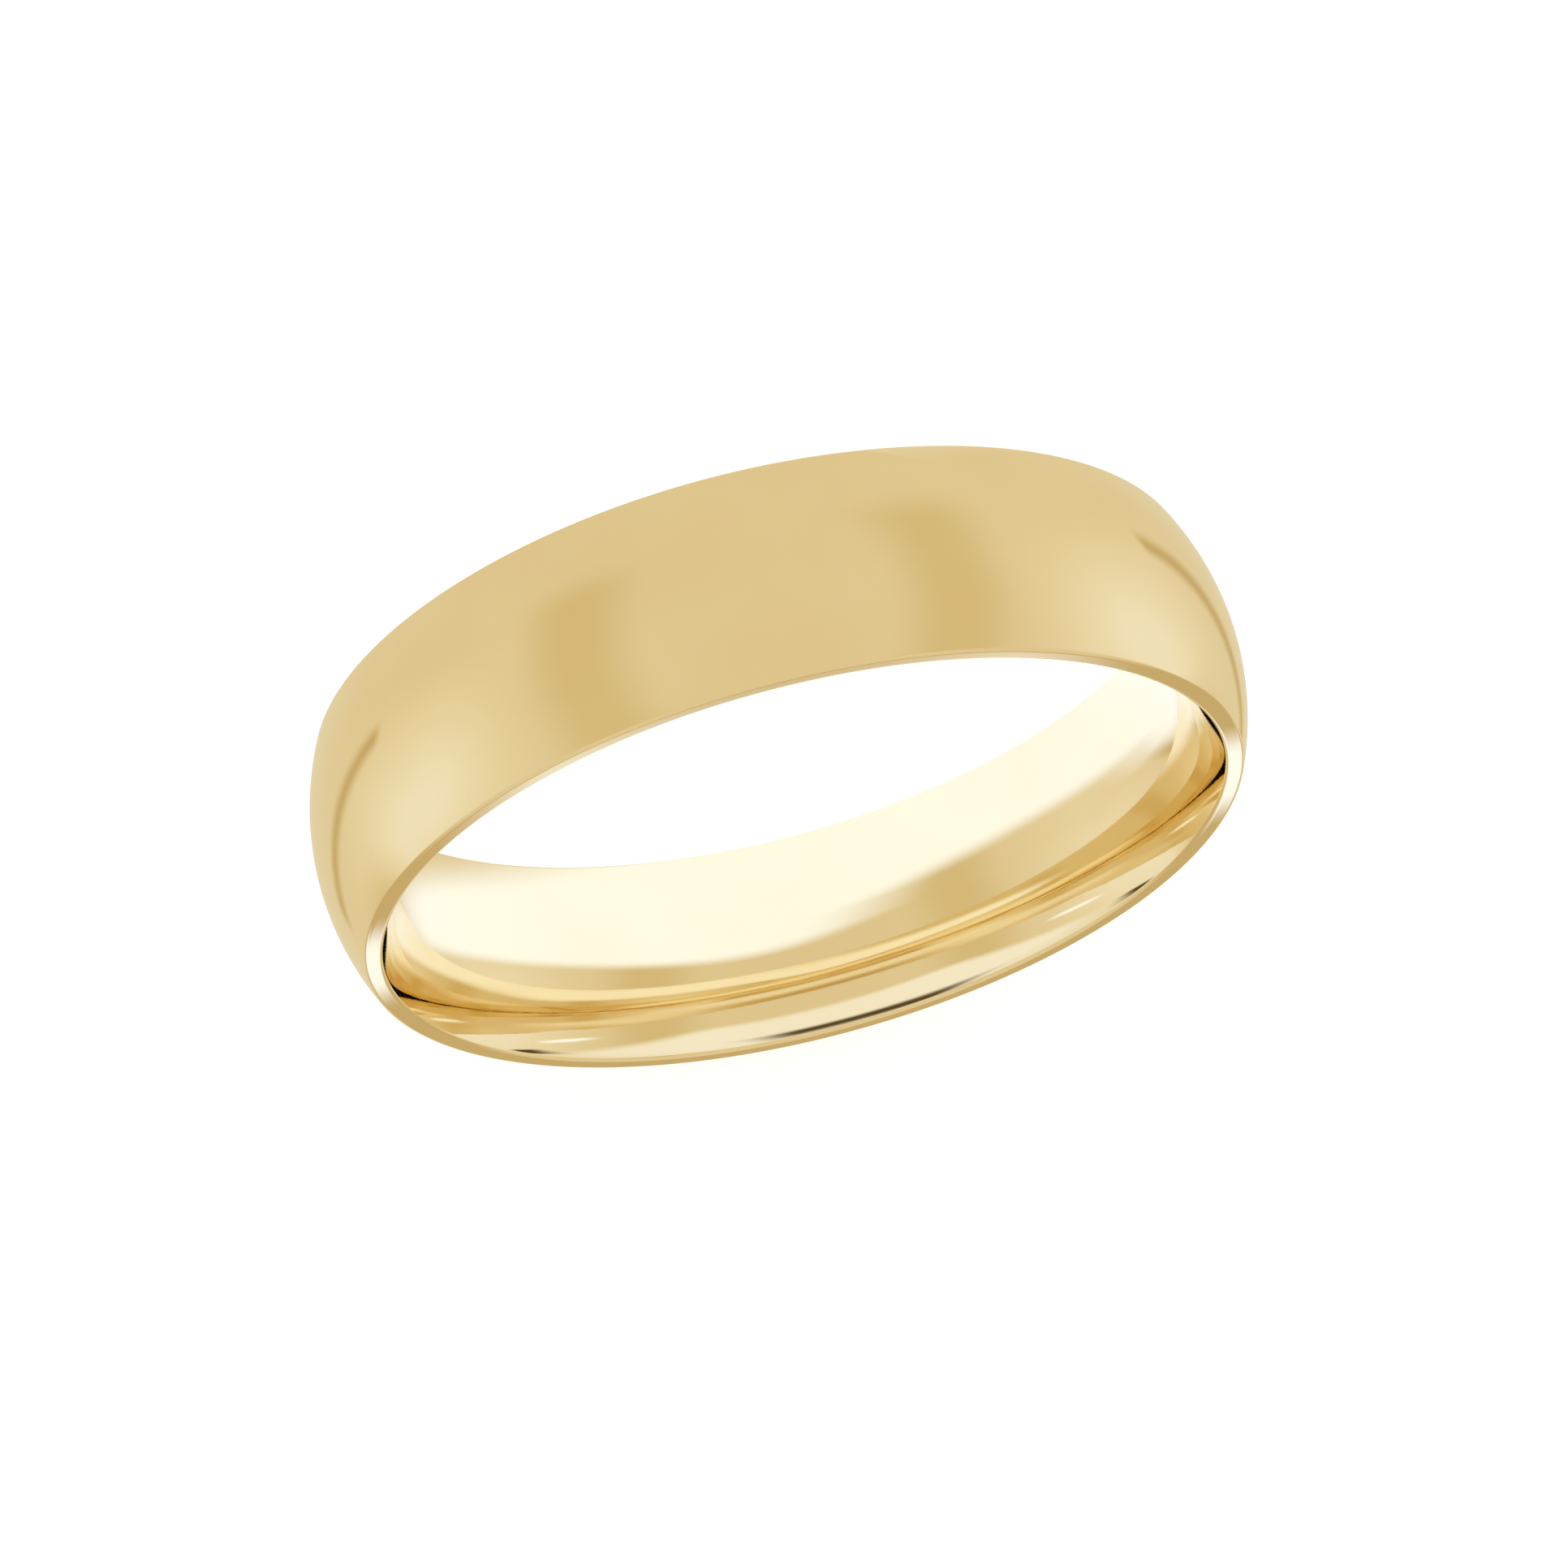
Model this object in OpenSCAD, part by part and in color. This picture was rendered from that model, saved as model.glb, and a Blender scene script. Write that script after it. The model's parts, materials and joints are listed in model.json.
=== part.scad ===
// Plain domed wedding band with a comfort-fit bore.
// The bore runs along Y, the ring stands upright, and the origin is the middle of the bore.

/* [Size] */
// Radius of the bore along its straight land
bore_r = 9.9; // [7:0.1:12.5]
// Width of the band, from one side face to the other
band_w = 5.45; // [4.6:0.05:5.7]
// Thickness of the metal at the middle of the band
crest_t = 1.5; // [1.45:0.05:2.2]

/* [Outside dome] */
// Radius of the arc that domes the outside, from one side face to the other
dome_r = 6.45; // [6.35:0.05:30]

/* [Comfort-fit bore] */
// Length of the straight land in the middle of the bore
land_l = 0.4; // [0.2:0.1:3]
// Radius of the arc that opens the bore out towards each side face
flare_r = 6.75; // [6.5:0.25:20]

/* [Edges] */
// Radius that breaks each outer corner
outer_edge_r = 0.13; // [0.05:0.01:0.15]
// Radius that breaks each inner corner
inner_edge_r = 0.13; // [0.05:0.01:0.15]

/* [Hidden] */
gold = [0.90, 0.76, 0.47];
turn_fn = 360;
arc_fn = 240;

// The section is drawn with X as the distance from the bore's axis and Y along that axis.
half_w = band_w / 2;
crest_r = bore_r + crest_t;
dome_centre = [crest_r - dome_r, 0];
flare_centre = [bore_r + flare_r, land_l / 2];

// An edge disc is drawn a little over its size, so that it cuts its two neighbours cleanly.
edge_overlap = 1.015;

// How far an edge disc's centre lies, along X, from the centre of the big arc that it touches.
function edge_reach(big_r, big_y, edge_r) =
    sqrt(pow(big_r - edge_r, 2) - pow(half_w - edge_r - big_y, 2));

outer_edge = [
    dome_centre.x + edge_reach(dome_r, 0, outer_edge_r),
    half_w - outer_edge_r
];
inner_edge = [
    flare_centre.x - edge_reach(flare_r, land_l / 2, inner_edge_r),
    half_w - inner_edge_r
];

// The point that lies past an edge disc, on the line to it from its big arc's centre.
function past_edge(big_centre, edge, edge_r) =
    edge + (edge - big_centre) * (2 * edge_r / norm(edge - big_centre));

module both_sides() {
    children();
    mirror([0, 1]) children();
}

// Half of a blank wider than the band, cut back to a disc at each of the two corners.
module rounded_blank() {
    over_y = half_w + 1;
    translate(outer_edge) circle(r = outer_edge_r * edge_overlap, $fn = arc_fn);
    translate(inner_edge) circle(r = inner_edge_r * edge_overlap, $fn = arc_fn);
    polygon([
        [bore_r - 1, 0],
        [crest_r + 1, 0],
        past_edge(dome_centre, outer_edge, outer_edge_r),
        outer_edge,
        [outer_edge.x, over_y],
        [inner_edge.x, over_y],
        inner_edge,
        past_edge(flare_centre, inner_edge, inner_edge_r)
    ]);
}

// Half of the metal's side of the bore: straight along the land, then an arc that opens it out.
module bore_side() {
    translate([bore_r, 0]) square([2 * flare_r, land_l / 2]);
    intersection() {
        translate(flare_centre) circle(r = flare_r, $fn = arc_fn);
        translate([bore_r, land_l / 2]) square([2 * flare_r, half_w]);
    }
}

module section() {
    intersection() {
        translate(dome_centre) circle(r = dome_r, $fn = arc_fn);
        both_sides() bore_side();
        both_sides() rounded_blank();
        translate([0, -half_w]) square([crest_r + 1, band_w]);
    }
}

// The band is one piece of solid gold: the section turned once round the finger's axis.
module band() {
    color(gold)
    rotate([90, 0, 0])
    rotate_extrude($fn = turn_fn)
    section();
}

band();
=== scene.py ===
"""Plain gold wedding band: a polished lathe-turned ring on a light table in a soft tent."""
import json
import math

import bmesh
import bpy
from mathutils import Matrix, Vector


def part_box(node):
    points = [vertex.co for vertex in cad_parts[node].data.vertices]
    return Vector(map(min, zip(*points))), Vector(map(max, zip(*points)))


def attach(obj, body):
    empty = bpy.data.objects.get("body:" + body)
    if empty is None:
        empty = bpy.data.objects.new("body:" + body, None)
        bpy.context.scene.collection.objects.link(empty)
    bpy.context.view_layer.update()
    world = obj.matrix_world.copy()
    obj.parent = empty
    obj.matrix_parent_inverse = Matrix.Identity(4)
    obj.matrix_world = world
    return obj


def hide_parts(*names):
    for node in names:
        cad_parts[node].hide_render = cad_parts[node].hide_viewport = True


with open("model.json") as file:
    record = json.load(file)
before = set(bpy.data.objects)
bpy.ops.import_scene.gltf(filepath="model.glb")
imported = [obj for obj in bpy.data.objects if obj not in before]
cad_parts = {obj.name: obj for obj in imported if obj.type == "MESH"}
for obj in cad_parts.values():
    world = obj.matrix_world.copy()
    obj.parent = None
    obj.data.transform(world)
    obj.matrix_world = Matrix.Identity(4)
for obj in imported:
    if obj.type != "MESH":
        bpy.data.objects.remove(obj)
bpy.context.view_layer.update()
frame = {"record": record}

MM = 0.001

# ---------------------------------------------------------------- sizes, in metres
DOME_R = 6.45 * MM          # arc of the outside, side face to side face
FLARE_R = 6.75 * MM         # arc that opens the bore out towards each side face
EDGE_R = 0.13 * MM          # broken edge at each of the four corners
STEPS_ROUND = 480           # facets round the ring
STEPS_DOME = 44             # facets along each arc of half the section
STEPS_FLARE = 26
STEPS_EDGE = 10
STEPS_SIDE = 3              # facets across the flat side face

# ---------------------------------------------------------------- camera
VIEW_AZIMUTH = -13.8        # degrees, 0 looks along +Y
VIEW_ELEVATION = 65.4
VIEW_DISTANCE = 204 * MM
VIEW_RIGHT = 0.1 * MM       # how far the aim lies beside and above the ring's centre
VIEW_UP = -0.4 * MM
LENS_MM = 195.0
SENSOR_MM = 36.0


def band_sizes():
    """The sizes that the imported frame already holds."""
    low, high = (Vector(corner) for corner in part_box("band"))
    bore = next(m for m in frame["record"]["mounts"] if m["name"] == "finger_bore")
    return {
        "half_w": (high.y - low.y) / 2,
        "crest_r": (high.z - low.z) / 2,
        "bore_r": bore["dims"]["r_mm"] * MM,
        "half_land": bore["dims"]["length_mm"] * MM / 2,
    }


# ---------------------------------------------------------------- the band's mesh
def arc(centre, radius, start, end, steps):
    """Points and normals along an arc; angles run from the axial direction to the radial one."""
    points = []
    for i in range(steps + 1):
        angle = start + (end - start) * i / steps
        normal = (math.cos(angle), math.sin(angle))
        points.append((centre[0] + radius * normal[0], centre[1] + radius * normal[1], *normal))
    return points


def edge_centre(big_centre, big_r, half_w, side):
    """Centre of the edge arc that touches a big arc from inside and the side face."""
    axial = half_w - EDGE_R
    reach = math.sqrt((big_r - EDGE_R) ** 2 - (axial - big_centre[0]) ** 2)
    return axial, big_centre[1] + side * reach


def half_section(size):
    """One half of the section, from the crest over the side face to the middle of the bore."""
    half_w, half_land = size["half_w"], size["half_land"]
    dome_c = (0.0, size["crest_r"] - DOME_R)
    flare_c = (half_land, size["bore_r"] + FLARE_R)
    outer_c = edge_centre(dome_c, DOME_R, half_w, 1)
    inner_c = edge_centre(flare_c, FLARE_R, half_w, -1)
    dome_end = math.atan2(outer_c[1] - dome_c[1], outer_c[0] - dome_c[0])
    flare_end = math.atan2(inner_c[1] - flare_c[1], inner_c[0] - flare_c[0])
    up, down = math.pi / 2, -math.pi / 2
    points = arc(dome_c, DOME_R, up, dome_end, STEPS_DOME)
    points += arc(outer_c, EDGE_R, dome_end, 0, STEPS_EDGE)[1:]
    for i in range(1, STEPS_SIDE):
        radial = outer_c[1] + (inner_c[1] - outer_c[1]) * i / STEPS_SIDE
        points.append((half_w, radial, 1.0, 0.0))
    points += arc(inner_c, EDGE_R, 0, flare_end, STEPS_EDGE)
    points += arc(flare_c, FLARE_R, flare_end, down, STEPS_FLARE)[1:]
    points.append((0.0, size["bore_r"], 0.0, -1.0))
    return points


def whole_section(size):
    """The closed section: the half, then its mirror image back to the crest."""
    half = half_section(size)
    mirrored = [(-axial, radial, -na, nr) for axial, radial, na, nr in reversed(half[1:-1])]
    return half + mirrored


def lathe(name, section):
    """Turn a closed section once round the Y axis, with exact normals."""
    bm = bmesh.new()
    rings, normals = [], []
    for i in range(STEPS_ROUND):
        turn = 2 * math.pi * i / STEPS_ROUND
        across, up = math.sin(turn), math.cos(turn)
        ring = []
        for axial, radial, na, nr in section:
            ring.append(bm.verts.new((radial * across, axial, radial * up)))
            normals.append((nr * across, na, nr * up))
        rings.append(ring)
    count = len(section)
    for i, ring in enumerate(rings):
        following = rings[(i + 1) % STEPS_ROUND]
        for j in range(count):
            k = (j + 1) % count
            face = bm.faces.new((ring[j], following[j], following[k], ring[k]))
            face.smooth = True
    bmesh.ops.recalc_face_normals(bm, faces=bm.faces)
    mesh = bpy.data.meshes.new(name)
    bm.to_mesh(mesh)
    bm.free()
    mesh.normals_split_custom_set_from_vertices(normals)
    piece = bpy.data.objects.new(name, mesh)
    bpy.context.collection.objects.link(piece)
    return piece


# ---------------------------------------------------------------- node helpers
def add_node(tree, kind, **settings):
    node = tree.nodes.new(kind)
    for key, value in settings.items():
        setattr(node, key, value)
    return node


def feed(tree, socket, value):
    """Set a socket to a number or vector, or link it to another node's output."""
    if isinstance(value, bpy.types.NodeSocket):
        tree.links.new(value, socket)
    else:
        socket.default_value = value


def math_node(tree, operation, a, b=0.0):
    node = add_node(tree, "ShaderNodeMath", operation=operation)
    feed(tree, node.inputs[0], a)
    feed(tree, node.inputs[1], b)
    return node.outputs[0]


def ease(tree, value, start, end, low=0.0, high=1.0):
    """A smooth step of value: low at start, high at end."""
    node = add_node(tree, "ShaderNodeMapRange", interpolation_type="SMOOTHSTEP")
    for socket, number in zip(node.inputs, (value, start, end, low, high)):
        feed(tree, socket, number)
    return node.outputs[0]


def mix_levels(tree, amount, a, b):
    node = add_node(tree, "ShaderNodeMix", data_type="FLOAT")
    for place, number in ((0, amount), (2, a), (3, b)):
        feed(tree, node.inputs[place], number)
    return node.outputs[0]


# ---------------------------------------------------------------- gold
GOLD_DEEP = (0.92, 0.79, 0.53, 1)
GOLD_PALE = (0.93, 0.81, 0.55, 1)
CLOUD_SCALE = (260, 260, 260)       # the features of each noise that fit in a metre
LINE_SCALE = (400, 24000, 400)      # much finer along the axis, so lines run round the ring
WAVE_SCALE = (130, 210, 130)
ROUGH_LOW, ROUGH_HIGH = 0.020, 0.050
WAVE_DEPTH = 0.006 * MM
LINE_DEPTH = 0.00004 * MM


def stretched_noise(tree, position, scale, detail):
    """Noise over a position in metres, stretched along each axis."""
    stretch = add_node(tree, "ShaderNodeVectorMath", operation="MULTIPLY")
    tree.links.new(position, stretch.inputs[0])
    stretch.inputs[1].default_value = scale
    noise = add_node(tree, "ShaderNodeTexNoise")
    tree.links.new(stretch.outputs[0], noise.inputs["Vector"])
    noise.inputs["Scale"].default_value = 1.0
    noise.inputs["Detail"].default_value = detail
    return noise.outputs["Fac"]


def bump(tree, height, distance, below=None):
    node = add_node(tree, "ShaderNodeBump")
    node.inputs["Strength"].default_value = 1.0
    node.inputs["Distance"].default_value = distance
    tree.links.new(height, node.inputs["Height"])
    if below is not None:
        tree.links.new(below, node.inputs["Normal"])
    return node.outputs["Normal"]


def polished_gold():
    material = bpy.data.materials.new("polished_gold")
    material.use_nodes = True
    tree = material.node_tree
    shader = tree.nodes["Principled BSDF"]
    shader.inputs["Metallic"].default_value = 1.0
    shader.inputs["IOR"].default_value = 1.5
    position = add_node(tree, "ShaderNodeTexCoord").outputs["Object"]

    cloud = stretched_noise(tree, position, CLOUD_SCALE, 2.0)
    tint = add_node(tree, "ShaderNodeMix", data_type="RGBA")
    tree.links.new(ease(tree, cloud, 0.35, 0.65), tint.inputs[0])
    tint.inputs[6].default_value = GOLD_DEEP
    tint.inputs[7].default_value = GOLD_PALE
    tree.links.new(tint.outputs[2], shader.inputs["Base Color"])

    lines = stretched_noise(tree, position, LINE_SCALE, 3.0)
    roughness = ease(tree, lines, 0.3, 0.7, ROUGH_LOW, ROUGH_HIGH)
    tree.links.new(roughness, shader.inputs["Roughness"])

    wave = stretched_noise(tree, position, WAVE_SCALE, 1.0)
    hand = bump(tree, wave, WAVE_DEPTH)
    fine = bump(tree, lines, LINE_DEPTH, hand)
    tree.links.new(fine, shader.inputs["Normal"])
    return material


# ---------------------------------------------------------------- studio
# The light of the tent's cloths and boards at the levels 0, 0.25, 0.50, 0.75 and 1.00, from a
# black flag to a bare lamp. Dark cloth is warm, and a lamp is a little cool.
TONES = [
    (0.02, 0.01, 0.00),
    (0.45, 0.30, 0.12),
    (0.72, 0.60, 0.35),
    (0.90, 0.85, 0.70),
    (1.10, 1.20, 1.40),
]
TONE_SCALE = 2.0            # the shaders' strength, which keeps their colours under 1
CREAM_CLOTH = 0.60          # the level of the tent itself

# Cloths of the tent that hang in pairs, left and right: azimuth and elevation of the middle,
# half width and half height, softness of the rim, all in degrees, then the level. Azimuth 0
# is towards -Y, 90 towards +X.
PAIRS = [
    (90, 45, 40, 10, 8, 0.50),      # tan flags above
    (90, -10, 20, 25, 20, 0.80),    # soft windows
    (120, -40, 2, 20, 2, 0.40),     # the tent's poles
]
TABLE_EDGE_SHADE = (0, -60, 60, 20, 10, 0.40)     # painted shade: a darker patch low in front, which the ring mirrors as the table's front edge in shade, in the same form

# Boards beside the ring that face along Y: outline, Y, X and Z of the middle, half width and
# half height, softness of the rim, all in mm, then the level. The mirror image of rim_flag is
# the dark streak near the front rim.
PANELS = [
    ("back_board", "round", 6, 3, -4, 7, 13, 2, 1.00),
    ("front_board", "square", -5, 0, 0, 7, 5, 2, 0.85),
    ("left_lamp", "round", -4, -11, -3, 2, 2, 1, 1.00),
    ("right_lamp", "round", -4, 11, -3, 2, 2, 1, 1.00),
    ("rim_flag", "square", -3.7, 1, -7, 1, 0.4, 0.3, 0.05),
]


# The light table, in metres: a round floor that sweeps up into a wall.
TABLE_R, TABLE_SWEEP, TABLE_WALL = 0.5, 0.2, 0.6
TABLE_STEPS = 96            # facets round the table
SWEEP_STEPS = 16            # facets along its sweep
TABLE_ALBEDO, TABLE_GLOW = 0.45, 0.75


def tone(level):
    """The light of one level, as a colour for a shader of strength TONE_SCALE."""
    place = level * (len(TONES) - 1)
    step = min(int(place), len(TONES) - 2)
    part = place - step
    light = [dim + (bright - dim) * part for dim, bright in zip(TONES[step], TONES[step + 1])]
    return (*(channel / TONE_SCALE for channel in light), 1)


def tone_ramp(tree, level):
    """The tones as a colour ramp over the level."""
    ramp = add_node(tree, "ShaderNodeValToRGB")
    elements = ramp.color_ramp.elements
    while len(elements) < len(TONES):
        elements.new(0.5)
    for i, element in enumerate(elements):
        element.position = i / (len(TONES) - 1)
        element.color = tone(element.position)
    tree.links.new(level, ramp.inputs[0])
    return ramp.outputs[0]


def fade(tree, distance, half, soft):
    """1 inside half, 0 outside it, with a soft rim."""
    return ease(tree, math_node(tree, "ABSOLUTE", distance), half + soft, half - soft)


def dot(tree, vector, axis):
    node = add_node(tree, "ShaderNodeVectorMath", operation="DOT_PRODUCT")
    tree.links.new(vector, node.inputs[0])
    node.inputs[1].default_value = axis
    return node.outputs["Value"]


def patch_mask(tree, direction, azimuth, elevation, half_w, half_h, soft):
    """How much of each patch of the tent covers each direction: its cloths, and the painted
    shade of the table's edge.
    """
    turn = Matrix.Rotation(azimuth, 3, "Z") @ Matrix.Rotation(-elevation, 3, "X")
    ahead = dot(tree, direction, turn @ Vector((0, -1, 0)))
    across = dot(tree, direction, turn @ Vector((1, 0, 0)))
    above = dot(tree, direction, turn @ Vector((0, 0, 1)))
    wide = fade(tree, math_node(tree, "ARCTAN2", across, ahead), half_w, soft)
    tall = fade(tree, math_node(tree, "ARCSINE", above), half_h, soft)
    return math_node(tree, "MULTIPLY", wide, tall)


def tent():
    """The surround: a soft cream tent with a few darker and lighter cloths in it, and a patch of
    painted shade low in front for the table's edge.
    """
    world = bpy.data.worlds.new("tent")
    bpy.context.scene.world = world
    world.use_nodes = True
    tree = world.node_tree
    background = tree.nodes["Background"]
    background.inputs["Strength"].default_value = TONE_SCALE
    direction = add_node(tree, "ShaderNodeTexCoord").outputs["Generated"]
    cloths = [(side * azimuth, *rest) for azimuth, *rest in PAIRS for side in (-1, 1)]
    level = CREAM_CLOTH
    # the last patch is painted shade: the table's front edge in shade, as the ring mirrors it
    for *angles, patch_level in cloths + [TABLE_EDGE_SHADE]:
        mask = patch_mask(tree, direction, *(math.radians(angle) for angle in angles))
        level = mix_levels(tree, mask, level, patch_level)
    tree.links.new(tone_ramp(tree, level), background.inputs["Color"])


def table_material():
    material = bpy.data.materials.new("table_white")
    material.use_nodes = True
    shader = material.node_tree.nodes["Principled BSDF"]
    shader.inputs["Base Color"].default_value = (TABLE_ALBEDO, TABLE_ALBEDO, TABLE_ALBEDO, 1)
    shader.inputs["Roughness"].default_value = 0.9
    shader.inputs["Specular IOR Level"].default_value = 0.0
    shader.inputs["Emission Color"].default_value = (1, 1, 1, 1)
    shader.inputs["Emission Strength"].default_value = TABLE_GLOW
    return material


def light_table(floor_z):
    """A round floor that sweeps up into a wall around the camera."""
    profile = [(0.0, 0.0), (TABLE_R, 0.0)]
    for i in range(1, SWEEP_STEPS + 1):
        angle = math.pi / 2 * i / SWEEP_STEPS
        out_by, up_by = TABLE_SWEEP * math.sin(angle), TABLE_SWEEP * (1 - math.cos(angle))
        profile.append((TABLE_R + out_by, up_by))
    profile.append((TABLE_R + TABLE_SWEEP, TABLE_WALL))
    bm = bmesh.new()
    verts = [bm.verts.new((r, 0, floor_z + z)) for r, z in profile]
    edges = [bm.edges.new(pair) for pair in zip(verts, verts[1:])]
    bmesh.ops.spin(bm, geom=verts + edges, cent=(0, 0, 0), axis=(0, 0, 1),
                   angle=2 * math.pi, steps=TABLE_STEPS, use_merge=True)
    bmesh.ops.remove_doubles(bm, verts=bm.verts, dist=1e-6)
    bmesh.ops.recalc_face_normals(bm, faces=bm.faces)
    mesh = bpy.data.meshes.new("light_table")
    bm.to_mesh(mesh)
    bm.free()
    mesh.materials.append(table_material())
    table = bpy.data.objects.new("light_table", mesh)
    bpy.context.collection.objects.link(table)
    table.visible_glossy = False


def panel_light(name, outline, half_w, half_h, soft, level):
    """Light of one tone inside the outline, and nothing at all outside it."""
    material = bpy.data.materials.new(name + "_light")
    material.use_nodes = True
    tree = material.node_tree
    tree.nodes.clear()
    place = add_node(tree, "ShaderNodeTexCoord").outputs["Object"]
    across = dot(tree, place, (1, 0, 0))
    above = dot(tree, place, (0, 0, 1))
    if outline == "round":
        squash = add_node(tree, "ShaderNodeCombineXYZ")
        tree.links.new(math_node(tree, "DIVIDE", across, half_w), squash.inputs[0])
        tree.links.new(math_node(tree, "DIVIDE", above, half_h), squash.inputs[1])
        length = add_node(tree, "ShaderNodeVectorMath", operation="LENGTH")
        tree.links.new(squash.outputs[0], length.inputs[0])
        mask = fade(tree, length.outputs["Value"], 1.0, soft / min(half_w, half_h))
    else:
        wide, tall = fade(tree, across, half_w, soft), fade(tree, above, half_h, soft)
        mask = math_node(tree, "MULTIPLY", wide, tall)
    glow = add_node(tree, "ShaderNodeEmission")
    glow.inputs["Color"].default_value = tone(level)
    glow.inputs["Strength"].default_value = TONE_SCALE
    mix = add_node(tree, "ShaderNodeMixShader")
    tree.links.new(mask, mix.inputs[0])
    tree.links.new(add_node(tree, "ShaderNodeBsdfTransparent").outputs[0], mix.inputs[1])
    tree.links.new(glow.outputs[0], mix.inputs[2])
    out = add_node(tree, "ShaderNodeOutputMaterial")
    tree.links.new(mix.outputs[0], out.inputs["Surface"])
    return material


def panel(name, outline, y, x, z, half_w, half_h, soft, level):
    """A small light or flag beside the ring, which only its mirror images show."""
    half_w, half_h, soft = half_w * MM, half_h * MM, soft * MM
    w, h = half_w + soft, half_h + soft
    mesh = bpy.data.meshes.new(name)
    mesh.from_pydata([(-w, 0, -h), (w, 0, -h), (w, 0, h), (-w, 0, h)], [], [(0, 1, 2, 3)])
    mesh.materials.append(panel_light(name, outline, half_w, half_h, soft, level))
    board = bpy.data.objects.new(name, mesh)
    bpy.context.collection.objects.link(board)
    board.location = (x * MM, y * MM, z * MM)
    board.visible_camera = False
    board.visible_diffuse = False
    board.visible_shadow = False


# ---------------------------------------------------------------- camera
def camera():
    azimuth, elevation = math.radians(VIEW_AZIMUTH), math.radians(VIEW_ELEVATION)
    back = Vector((
        math.sin(azimuth) * math.cos(elevation),
        -math.cos(azimuth) * math.cos(elevation),
        math.sin(elevation),
    ))
    right = Vector((math.cos(azimuth), math.sin(azimuth), 0))
    up = back.cross(right)
    data = bpy.data.cameras.new("camera")
    data.sensor_width = SENSOR_MM
    data.lens = LENS_MM
    data.clip_start = 1 * MM
    data.clip_end = 10
    eye = bpy.data.objects.new("camera", data)
    bpy.context.collection.objects.link(eye)
    eye.location = back * VIEW_DISTANCE + right * VIEW_RIGHT + up * VIEW_UP
    eye.rotation_euler = back.to_track_quat("Z", "Y").to_euler()
    bpy.context.scene.camera = eye


SIZE = band_sizes()
band = lathe("band_polished", whole_section(SIZE))
band.data.materials.append(polished_gold())
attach(band, "root")
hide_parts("band")

tent()
light_table(-SIZE["crest_r"])
for row in PANELS:
    panel(*row)
camera()
bpy.context.scene.view_settings.view_transform = "Standard"
